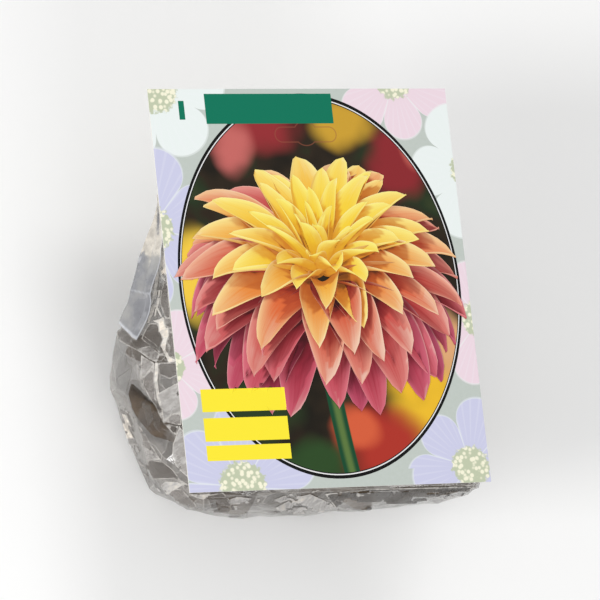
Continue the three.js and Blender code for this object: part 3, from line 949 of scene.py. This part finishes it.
def from_vents(places):
    """How far each place is from the rim of the nearest vent."""
    reach = np.full(len(places), 9.0)
    for point, axis in VENTS:
        off, axis = np.array(places) - np.array(point), np.array(axis) / np.linalg.norm(axis)
        across = np.linalg.norm(off - (off @ axis)[:, None] * axis, axis=1)
        near = np.linalg.norm(off, axis=1) < NEAR_VENT
        reach = np.where(near, np.minimum(reach, np.abs(across - VENT_RADIUS)), reach)
    return reach


def punch_vents(piece):
    """Opens the vents through the film."""
    mesh = bmesh.new()
    mesh.from_mesh(piece.data)
    for point, axis in VENTS:
        point, axis = Vector(point), Vector(axis).normalized()

        def away(place):
            off = place / MM - point
            return off - off.dot(axis) * axis, off.length < NEAR_VENT

        centres = [(face, *away(face.calc_center_median())) for face in mesh.faces]
        gone = [face for face, off, near in centres if near and off.length < VENT_RADIUS - 0.3]
        bmesh.ops.delete(mesh, geom=gone, context="FACES")
        for vert in mesh.verts:
            off, near = away(vert.co)
            if near and vert.is_boundary and 0.1 < off.length < VENT_RADIUS + 1.2:
                vert.co += off.normalized() * (VENT_RADIUS - off.length) * MM
    mesh.to_mesh(piece.data)
    mesh.free()
    note(piece, "vent", from_vents(read_places(piece)))


def from_folds(places, folds, far=3.0):
    """How far each place is from the nearest fold, up to a limit."""
    reach = np.full(len(places), far)
    for start, end in folds:
        middle, run = (start + end) / 2, end - start
        near = np.nonzero(np.abs(places - middle).max(1) < far + np.abs(run).max() / 2)[0]
        if len(near):
            reach[near] = np.minimum(reach[near], from_line(places[near], [start, end]))
    return reach


FILM_CLOTH = {
    "quality": 6, "mass": 0.05,
    "tension_stiffness": 30.0, "compression_stiffness": 30.0, "shear_stiffness": 20.0,
    "bending_model": "ANGULAR", "bending_stiffness": 0.4, "tension_damping": 8.0, "compression_damping": 8.0,
    "shear_damping": 8.0, "bending_damping": 1.0, "air_damping": 2.0, "vertex_group_mass": "held",
    "pin_stiffness": 2.0, "shrink_min": -0.03,
}
CLOTH_FRAMES = 22


def settle_film(film, clump, most_in=1.0, most_out=0.5, most_aside=5.0):
    """Lets slack film settle on the tubers as simulated cloth, and caps how far a point may move."""
    start, ways = read_places(film), outward(film)
    held = film.vertex_groups.new(name="held")
    flat = np.nonzero((start[:, 2] > BAG_DEPTH - 1.2) | (start[:, 2] < 0.6))[0]
    held.add([int(i) for i in flat], 1.0, "REPLACE")
    clump.modifiers.new("collision", "COLLISION")
    clump.collision.thickness_outer = 1.0 * MM
    pick(film)
    cloth = film.modifiers.new("cloth", "CLOTH")
    for key, value in FILM_CLOTH.items():
        setattr(cloth.settings, key, value)
    cloth.settings.effector_weights.gravity = 0.0
    cloth.collision_settings.distance_min = 0.8 * MM
    cloth.collision_settings.collision_quality = 3
    cloth.point_cache.frame_start = 1
    cloth.point_cache.frame_end = CLOTH_FRAMES
    for step in range(1, CLOTH_FRAMES + 1):
        bpy.context.scene.frame_set(step)
    bpy.ops.object.modifier_apply(modifier="cloth")
    bpy.context.scene.frame_set(1)
    clump.modifiers.clear()
    film.vertex_groups.clear()
    moved = read_places(film) - start
    along = (moved * ways).sum(1, keepdims=True)
    aside = moved - along * ways
    aside *= np.minimum(1, most_aside / np.maximum(np.linalg.norm(aside, axis=1, keepdims=True), 1e-6))
    write_places(film, start + aside + np.clip(along, -most_in, most_out) * ways)


def keep_in_bag(places):
    """The film stays between the card and the floor."""
    places[:, 2] = np.clip(places[:, 2], 0.0, BAG_DEPTH)
    return places


BAG_LEVELS = [0, 1, 2.8, 5.5, 9.5, 15, 20, 25, 30, 35, 40, 45, 50, 55, 60, 64, 68, BAG_DEPTH]
FILM_VOXEL = 3.0
FILM_FACETS = 2000
FOLD_ANGLE = 16  # degrees between faces, from which an edge counts as a fold
PANE_ANGLE = 10  # degrees between faces, up to which they belong to one pane
FILM_OFF_TUBERS = 0.9
TUBER_PRESS = 6.0  # tubers this far out at most push the film outwards


def bag_shell():
    """The bag as a closed lofted shell, before it settles."""
    rings = [bag_ring(z) for z in BAG_LEVELS]
    around = len(rings[0])
    faces = [(r * around + i, r * around + (i + 1) % around,
              (r + 1) * around + (i + 1) % around, (r + 1) * around + i)
             for r in range(len(rings) - 1) for i in range(around)]
    faces.append(tuple(reversed(range(around))))
    faces.append(tuple(range((len(rings) - 1) * around, len(rings) * around)))
    return piece_from("bag_film", [place for ring in rings for place in ring], faces)


def refine_creased_sides(film):
    """Divides the film once more where its creases are drawn."""
    centres = np.zeros(len(film.data.polygons) * 3)
    film.data.polygons.foreach_get("center", centres)
    x, y, z = centres.reshape(-1, 3).T / MM
    fine = ((x < -60) | (y < -86)) & (z > 4) & (z < BAG_DEPTH - 1) & (y < 45)
    pick(film)
    bpy.ops.object.mode_set(mode="EDIT")
    bpy.ops.mesh.select_mode(type="FACE")
    bpy.ops.mesh.select_all(action="DESELECT")
    bpy.ops.object.mode_set(mode="OBJECT")
    film.data.polygons.foreach_set("select", fine)
    bpy.ops.object.mode_set(mode="EDIT")
    bpy.ops.mesh.subdivide(number_cuts=1)
    bpy.ops.object.mode_set(mode="OBJECT")


def crease_film(film):
    """Raises the drawn creases and the scattered crumples, less next to the card and the floor."""
    places, ways = read_places(film), outward(film)
    free = np.clip((BAG_DEPTH - places[:, 2]) / 6.0, 0, 1) * np.clip(places[:, 2] / 4.0, 0.15, 1)
    height = crease_height(places)
    for crumples in CRUMPLES:
        height += crumple_height(places, ways, *crumples)
    # The low left side shows in outline, so folds are shallow there
    outline = (places[:, 0] < -70) & (places[:, 2] < 42)
    height = np.clip(height, np.where(outline, -0.4, -2.4), np.where(outline, 0.4, 1.0))
    places += ways * (height * free)[:, None]
    write_places(film, keep_in_bag(places))


def drape(film, clump):
    """Puts the film outside the tubers, bulging where they press on it, and notes where it touches them."""
    places = read_places(film)
    surface = surface_of(clump)
    gap = np.zeros(len(places))
    for i, (place, way) in enumerate(zip(places, outward(film))):
        hit, facing, _, reach = surface.ray_cast(Vector(place) * MM, Vector(way), TUBER_PRESS * MM)
        if hit and facing.dot(Vector(way)) > 0:
            places[i] += (reach / MM + FILM_OFF_TUBERS) * way
        else:
            gap[i] = surface.find_nearest(Vector(place) * MM)[3] / MM
            places[i] += max(0.0, FILM_OFF_TUBERS - gap[i]) * way
    write_places(film, keep_in_bag(places))
    note(film, "touch", np.clip(1 - (gap - 1.2) / 3.5, 0, 1))
    return places


def film_bag(clump):
    """The bag's film, from its full shape to creased panes that lie on the tubers, and its folded layers."""
    film = bag_shell()
    apply_modifier(film, "REMESH", mode="VOXEL", voxel_size=FILM_VOXEL * MM)
    in_order(film)
    settle_film(film, clump)
    apply_modifier(film, "SUBSURF", levels=1, render_levels=1)
    refine_creased_sides(film)
    crease_film(film)
    # Film breaks into flat panes with straight edges
    apply_modifier(film, "DECIMATE", ratio=FILM_FACETS / (2 * len(film.data.polygons)))
    ridges, valleys = sharp_edges(film, FOLD_ANGLE)
    tree, tones = film_panes(film, PANE_ANGLE)
    apply_modifier(film, "SUBSURF", subdivision_type="SIMPLE", levels=3, render_levels=3)
    panes = [tones[tree.find_nearest(face.center)[2]] for face in film.data.polygons]
    film.data.attributes.new("pane", "FLOAT", "FACE").data.foreach_set("value", panes)
    places = drape(film, clump)
    # The film's material paints a highlight along the ridges
    note(film, "ridge", from_folds(places, ridges))
    # The film's material paints shade along the valleys
    note(film, "valley", from_folds(places, valleys))
    film_folds(film)
    punch_vents(film)
    dress(film, film_material(), 5)
    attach(film, "root")
    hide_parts("film_bag")


def inside_outline(points, corners):
    """Which points lie inside a closed outline: a line to their right crosses it an odd number of times."""
    inside = np.zeros(len(points), bool)
    for (x0, y0), (x1, y1) in zip(corners, corners[1:] + corners[:1]):
        if y0 != y1:
            inside ^= ((points[:, 1] > y0) != (points[:, 1] > y1)) & (
                points[:, 0] < x0 + (x1 - x0) * (points[:, 1] - y0) / (y1 - y0))
    return inside


def fold_net(corners, step=1.2):
    """A fine flat net in an outline: its points, its triangles, and how far each point is from the rim."""
    rim = []
    for start, end in zip(corners, corners[1:] + corners[:1]):
        count = max(1, round(math.dist(start, end) / step))
        shares = [k / count for k in range(count)]
        rim += [(blend(start[0], end[0], share), blend(start[1], end[1], share)) for share in shares]
    low, high = np.min(corners, axis=0), np.max(corners, axis=0)
    x, y = np.meshgrid(np.arange(low[0], high[0], step), np.arange(low[1], high[1], step))
    field = np.column_stack([x.ravel() + 0.5 * step * (np.arange(x.size) // x.shape[1] % 2), y.ravel()])
    loop = corners + corners[:1]
    field = field[inside_outline(field, corners) & (from_line(field, loop) > 0.6 * step)]
    points = [Vector(p) for p in rim] + [Vector(p) for p in field]
    around = [(k, (k + 1) % len(rim)) for k in range(len(rim))]
    points, _, triangles = delaunay_2d_cdt(points, around, [], 1, 1e-4)[:3]
    points = np.array([tuple(p) for p in points])
    return points, triangles, from_line(points, loop)


# Loose folds for the sides that are seen less: way of looking, how many, and how far they spread
LOOSE_FOLDS = [((1, 0, 0.25), 9, 70, 25), ((0, 1, 0.35), 8, 70, 25), ((0, 0, -1), 16, 70, 75),
               ((-0.6, 0.8, 0.2), 5, 40, 25)]
BAG_MIDDLE = Vector((0, -35, 32))


def scattered_folds():
    """The loose folds: a way of looking, and outlines across it like those of the drawn folds."""
    rng = np.random.default_rng(8)
    for towards, count, wide, tall in LOOSE_FOLDS:
        towards = Vector(towards).normalized()
        across = Vector((1, 0, 0))
        if abs(towards.z) < 0.9:
            across = Vector((-towards.y, towards.x, 0)).normalized()
        upwards = towards.cross(across)
        outlines = []
        for _ in range(count):
            u = BAG_MIDDLE.dot(across) + rng.uniform(-wide, wide)
            v = BAG_MIDDLE.dot(upwards) + rng.uniform(-tall, tall)
            turn, run = rng.uniform(0, math.pi), rng.uniform(12, 30)
            corners = [(u + math.cos(turn + a) * run * r, v + math.sin(turn + a) * run * r)
                       for a, r in ((0, 1), (rng.uniform(1.2, 2), rng.uniform(0.2, 0.4)), (math.pi, 0.8),
                                    (rng.uniform(4, 4.8), rng.uniform(0.1, 0.3)))]
            outlines.append((rng.uniform(0.2, 0.9), rng.uniform(0.35, 0.55), corners))
        yield across, upwards, towards, outlines


FOLD_LIFT = 0.35
FOLD_SHEET = 0.15


def film_folds(film):
    """Folded-over layers just proud of the bag. The loose ones keep off the side that the camera sees."""
    surface = surface_of(film)
    places, faces, tones, covers, rims = [], [], [], [], []
    drawn = list(fold_outlines())
    seen = (Vector(VIEW_RIGHT), Vector(VIEW_UP), Vector(VIEW_BACK), drawn)
    for across, upwards, towards, outlines in [seen, *scattered_folds()]:
        def free(way):
            if outlines is drawn:
                return way.dot(towards) > 0.05
            return way.dot(towards) > 0.15 and way.dot(seen[2]) < 0.15

        for tone, cover, corners in outlines:
            points, triangles, rim = fold_net(corners)
            where = {}
            for k, (u, v) in enumerate(points):
                start = (across * u + upwards * v + towards * 300) * MM
                hit, way, _, _ = surface.ray_cast(start, -towards)
                if hit and 2 * MM < hit.z < (BAG_DEPTH - 0.3) * MM and free(way):
                    where[k] = len(places)
                    places.append(tuple(c / MM for c in hit + way * FOLD_LIFT * MM))
                    tones.append(tone)
                    covers.append(cover)
                    rims.append(rim[k])
            for triangle in triangles:
                corners_3d = [Vector(places[where[k]]) for k in triangle if k in where]
                if len(corners_3d) == 3 and max((a - b).length for a in corners_3d for b in corners_3d) < 4:
                    faces.append(tuple(where[k] for k in triangle))
    folds = piece_from("bag_folds", places, faces)
    for name, values in (("tone", tones), ("cover", covers), ("rim", rims), ("vent", from_vents(places))):
        note(folds, name, values)
    apply_modifier(folds, "SOLIDIFY", thickness=FOLD_SHEET * MM, offset=0.0)
    dress(folds, folds_material(), 25)
    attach(folds, "root")
    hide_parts("film_bag")


def left_side(y, z):
    """How far out the bag's left side stands, round its neck corner too."""
    o = bag_outline(z)
    past = min(o["neck_corner"], max(0.0, y - (o["neck"] - o["neck_corner"])))
    return o["half_width"] - o["neck_corner"] + math.sqrt(o["neck_corner"] ** 2 - past ** 2)


# The tail's free edges as seen: height over the floor of its front and back edge, at places along the bag
TAIL_FRONT = [(51.0, 70.9), (34.0, 70.4), (26.0, 69.5), (19.0, 65.6), (11.6, 60.6), (3.8, 57.6), (-4.3, 55.4),
              (-9.7, 52.0), (-16.2, 47.2)]
TAIL_BACK = [(51.0, 70.3), (41.0, 62.6), (36.8, 59.8), (24.5, 53.0), (12.0, 47.0), (3.3, 43.0), (-5.0, 35.6)]
TAIL_TOP_Y = 50.5
TAIL_HEM_FRONT_Y = -16.2
TAIL_HEM_BACK_Y = -5.0
TAIL_SHEET = 0.3
SHOULDER_Y = 47.0  # past here the tail keeps to the side's line, where the neck's corner rounds away

# Creases across the tail: share of the way to the hem, slope, rise
TAIL_CREASES = [(0.44, 0.10, 0.9), (0.58, -0.12, 0.7), (0.72, 0.05, 1.0), (0.86, 0.1, 0.5)]


def film_tail():
    """The spare film past the neck, folded down over the left shoulder to a slanting hem."""
    along_steps, across_steps = 90, 36
    row = across_steps + 1
    places, hem, crest, cream = [], [], [], []
    for i in range(along_steps + 1):
        along = i / along_steps
        for j in range(across_steps + 1):
            share = j / across_steps
            front_y = blend(TAIL_TOP_Y, TAIL_HEM_FRONT_Y, along)
            back_y = blend(TAIL_TOP_Y, TAIL_HEM_BACK_Y, along)
            front_z = np.interp(-front_y, [-y for y, _ in TAIL_FRONT], [z for _, z in TAIL_FRONT])
            back_z = np.interp(-back_y, [-y for y, _ in TAIL_BACK], [z for _, z in TAIL_BACK])
            y, z = blend(front_y, back_y, share), blend(front_z, back_z, share)
            fold = sum(rise * max(0.0, 1 - abs(along - at - slope * (share - 0.5)) / 0.06)
                       for at, slope, rise in TAIL_CREASES)
            lengthwise = 0.9 * max(0.0, 1 - abs(share - 0.3 - 0.12 * math.sin(along * 5)) / 0.12)
            ripple = noise(Vector((z, y, 0.0)) * 0.09)
            lift = 0.6 * smooth(38, TAIL_TOP_Y, y) + 1.3 * smooth(0.8, 1.0, along) * (1 - share) + 0.6
            slack = 1 - 0.7 * smooth(0.6, 1.0, share)
            out = lift + ((0.7 * fold + 0.7 * lengthwise) * smooth(0, 0.3, along) + 0.4 * ripple) * slack
            places.append((-(left_side(min(y, SHOULDER_Y), z) + out), y, z))
            # For the material: the hem, a painted highlight along the crests of the creases, and a painted
            # cream glint over the upper tail
            hem.append(max(smooth(0.975, 0.99, along), smooth(0.05, 0.02, share)))
            long_crest = 0.3 * smooth(0.6, 0.9, lengthwise) * smooth(0.1, 0.3, along)
            crest.append(max(smooth(0.85, 1.0, fold), long_crest))
            in_streak = smooth(0.06, 0.12, along) * smooth(0.34, 0.28, along)
            streak = smooth(0.16, 0.03, abs(share - 0.3)) * in_streak
            cream.append(smooth(0.5, 0.34, along + 0.1 * noise(Vector((z, y, 4.0)) * 0.16)) - 0.7 * streak)
    faces = [(i * row + j, (i + 1) * row + j, (i + 1) * row + j + 1, i * row + j + 1)
             for i in range(along_steps) for j in range(across_steps)]
    tail = piece_from("bag_tail", places, faces)
    for name, values in (("hem", hem), ("crest", crest), ("cream", cream)):
        note(tail, name, values)
    apply_modifier(tail, "SOLIDIFY", thickness=TAIL_SHEET * MM, offset=0.0)
    dress(tail, tail_material(), 40)
    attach(tail, "root")
    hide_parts("film_bag")


LIGHT_THROUGH = 0.75


def see_through(g, shader, cover):
    """Film that hides what is behind it by the given share, and lets most light through to the inside."""
    shadow = g.put("ShaderNodeLightPath").outputs["Is Shadow Ray"]
    g.feed(shader.inputs["Alpha"], g.mul(cover, g.sub(1.0, g.mul(shadow, LIGHT_THROUGH))))


def film_material():
    material, g, shader = new_material("crinkled_film", Specular_IOR_Level=0.8, Coat_Weight=0.6,
                                       Coat_Roughness=0.06, IOR=1.5)
    place = g.place()
    touch = g.attribute("touch")
    # Painted highlight: paler along the ridges of the folds and round the vent rims
    fold = g.most(g.ease(g.attribute("ridge"), 0.5, 0.12), g.ease(g.attribute("vent"), 1.1, 0.3, 0.0, 1.6))
    # Painted shade: darker along the valleys of the folds
    valley_shade = g.ease(g.attribute("valley"), 0.6, 0.1)
    cloud = g.noise(place, 0.045, 3.0, 0.6)
    jag = g.put("ShaderNodeTexNoise", {"Vector": place, "Scale": 0.1, "Detail": 2.0}).outputs["Color"]
    bent = g.vector("ADD", place, g.vector("SCALE", g.vector("SUBTRACT", jag, (0.5, 0.5, 0.5)), scale=6.0))
    # One tone for each pane stands in for the light that each flat facet catches, painted reflection and
    # shade, mixed with the film's cloudy haze
    tone = g.add(g.mul(g.attribute("pane"), 0.5), g.mul(cloud, 0.6))
    milk = g.ramp(tone, [(0.2, ink(92, 86, 80)), (0.42, ink(116, 110, 104)), (0.6, ink(136, 130, 124)),
                         (0.8, ink(158, 153, 147))])
    shaded = g.mix(g.mul(touch, 0.6), milk, ink(80, 73, 67))
    # Painted highlight along the ridges and the vent rims
    creased = g.mix(g.mul(fold, 0.35), shaded, ink(206, 202, 196))
    # Painted shade along the valleys
    creased = g.mix(g.mul(valley_shade, 0.3), creased, ink(92, 86, 81))
    g.feed(shader.inputs["Base Color"], creased)
    g.feed(shader.inputs["Roughness"], g.ease(cloud, 0.3, 0.7, 0.12, 0.26))
    haze = g.add(g.ease(tone, 0.25, 0.8, 0.36, 0.56), g.mul(fold, 0.2))
    see_through(g, shader, g.sub(haze, g.mul(touch, 0.26)))
    wrinkle = g.put("ShaderNodeTexVoronoi", {"Vector": bent, "Scale": 0.16}, feature="DISTANCE_TO_EDGE")
    fine = g.put("ShaderNodeTexVoronoi", {"Vector": bent, "Scale": 0.42}, feature="DISTANCE_TO_EDGE")
    height = g.add(wrinkle.outputs["Distance"], g.mul(fine.outputs["Distance"], 0.25))
    bumped(g, shader, height, 0.001, 0.4)
    return material


def folds_material():
    material, g, shader = new_material("folded_film", Specular_IOR_Level=0.6, IOR=1.5)
    place = g.place()
    tone, cover = g.attribute("tone"), g.attribute("cover")
    streak = g.noise(g.vector("MULTIPLY", place, (0.3, 0.3, 0.08)), 1.0, 5.0, 0.6)
    mottled = g.add(tone, g.mul(g.sub(streak, 0.5), 0.6))
    # Painted glints and shade: the fold's tone runs from dark painted shade to cream painted glints
    milk = g.ramp(mottled, [(0.0, ink(74, 69, 64)), (0.25, ink(104, 97, 91)), (0.5, ink(140, 134, 129)),
                            (0.7, ink(168, 164, 160)), (0.85, ink(192, 189, 186)), (1.0, ink(232, 222, 208))])
    # Painted highlight: paler along the folds' rims and round the vent rims
    edge = g.most(g.ease(g.attribute("rim"), 0.6, 0.25), g.ease(g.attribute("vent"), 1.1, 0.3))
    edge_highlight = g.mul(edge, g.ease(streak, 0.3, 0.55, 0.15, 0.85))
    g.feed(shader.inputs["Base Color"], g.mix(edge_highlight, milk, ink(210, 206, 200)))
    g.feed(shader.inputs["Roughness"], g.ease(streak, 0.3, 0.7, 0.18, 0.34))
    ragged = g.ease(g.add(g.attribute("rim"), g.mul(streak, 2.0)), 0.6, 1.2, 0.7, 1.0)
    see_through(g, shader, g.mul(g.mul(cover, ragged), g.ease(streak, 0.2, 0.8, 0.75, 1.15)))
    bumped(g, shader, streak, 0.0006, 0.5)
    return material


def tail_material():
    material, g, shader = new_material("tail_film", Specular_IOR_Level=0.7, IOR=1.5)
    place = g.place()
    hem, crest = g.attribute("hem"), g.attribute("crest")
    cloud = g.noise(place, 0.06, 3.0, 0.55)
    # Bluish grey, partly the film's haze and partly a painted cool reflection
    milk = g.ramp(cloud, [(0.32, ink(112, 113, 118)), (0.5, ink(134, 135, 140)), (0.68, ink(160, 159, 157))])
    blotch = g.sub(g.noise(place, 0.22, 4.0, 0.65), 0.5)
    # Painted glint: cream blotches over the upper tail
    cream = g.ease(g.add(g.attribute("cream"), g.mul(blotch, 1.2)), 0.2, 0.7)
    tinted = g.mix(cream, milk, g.mix(g.ease(blotch, -0.2, 0.2), ink(176, 170, 160), ink(218, 211, 199)))
    # Paler along the hem, and a painted highlight along the crests of the creases
    pale = g.most(g.mul(hem, 0.6), g.mul(crest, 0.5))
    g.feed(shader.inputs["Base Color"], g.mix(pale, tinted, ink(212, 214, 220)))
    g.feed(shader.inputs["Roughness"], g.ease(cloud, 0.3, 0.7, 0.16, 0.34))
    solid = g.most(g.mul(hem, 0.15), g.mul(cream, 0.2))
    see_through(g, shader, g.add(g.ease(cloud, 0.3, 0.7, 0.62, 0.8), solid))
    bumped(g, shader, g.noise(place, 0.35, 4.0, 0.6), 0.0004, 0.5)
    return material


# The tubers

TUBER_VOXEL = 1.5


def tuber_clump():
    """The CAD clump with lumps, wrinkles and fine grain in its skin."""
    clump = merged_copy("tuber_clump", "tubers")
    apply_modifier(clump, "REMESH", mode="VOXEL", voxel_size=TUBER_VOXEL * MM)
    in_order(clump)
    apply_modifier(clump, "SMOOTH", factor=0.5, iterations=3)
    places, ways = read_places(clump), outward(clump)
    lump, ring, fine = (np.array([noise(Vector(p) * scale) for p in places]) for scale in (0.11, 0.45, 1.1))
    places += ways * (0.35 * lump + 0.3 * ring + 0.12 * fine - 0.35)[:, None]
    write_places(clump, places)
    dress(clump, tuber_material())
    for face in clump.data.polygons:
        face.use_smooth = True
    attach(clump, "root")
    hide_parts("tuber_clump")
    return clump


def tuber_material():
    material, g, shader = new_material("tuber_skin", Specular_IOR_Level=0.3)
    place = g.place()
    patch = g.noise(place, 0.06, 4.0, 0.6)
    skin = g.ramp(patch, [(0.3, ink(66, 55, 45)), (0.5, ink(90, 76, 62)), (0.65, ink(114, 98, 80)),
                          (0.8, ink(140, 123, 101))])
    speck = g.noise(place, 0.9, 4.0, 0.7)
    dusty = g.mix(g.ease(speck, 0.5, 0.75), skin, ink(54, 43, 33))
    g.feed(shader.inputs["Base Color"], dusty)
    g.feed(shader.inputs["Roughness"], g.ease(patch, 0.3, 0.7, 0.7, 0.92))
    bumped(g, shader, g.add(speck, g.noise(place, 0.3, 5.0, 0.65)), 0.0008, 0.7)
    return material


def strip_material():
    material, g, shader = new_material("adhesive_strip", Specular_IOR_Level=0.4)
    place = g.place()
    streak = g.noise(g.vector("MULTIPLY", place, (0.4, 0.08, 0.4)), 1.0, 3.0)
    g.feed(shader.inputs["Base Color"], g.mix(streak, ink(222, 216, 200), ink(240, 238, 228)))
    g.feed(shader.inputs["Roughness"], g.ease(streak, 0.3, 0.7, 0.45, 0.65))
    bumped(g, shader, streak, 0.0001, 0.5)
    return material


printed_bloom()
clump = tuber_clump()
film_bag(clump)
film_tail()
strip_finish = strip_material()
for name in ("adhesive_strip_upper", "adhesive_strip_lower"):
    dress(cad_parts[name], strip_finish)
dress(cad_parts["picture_card"], card_material())

stage()
light_and_camera()
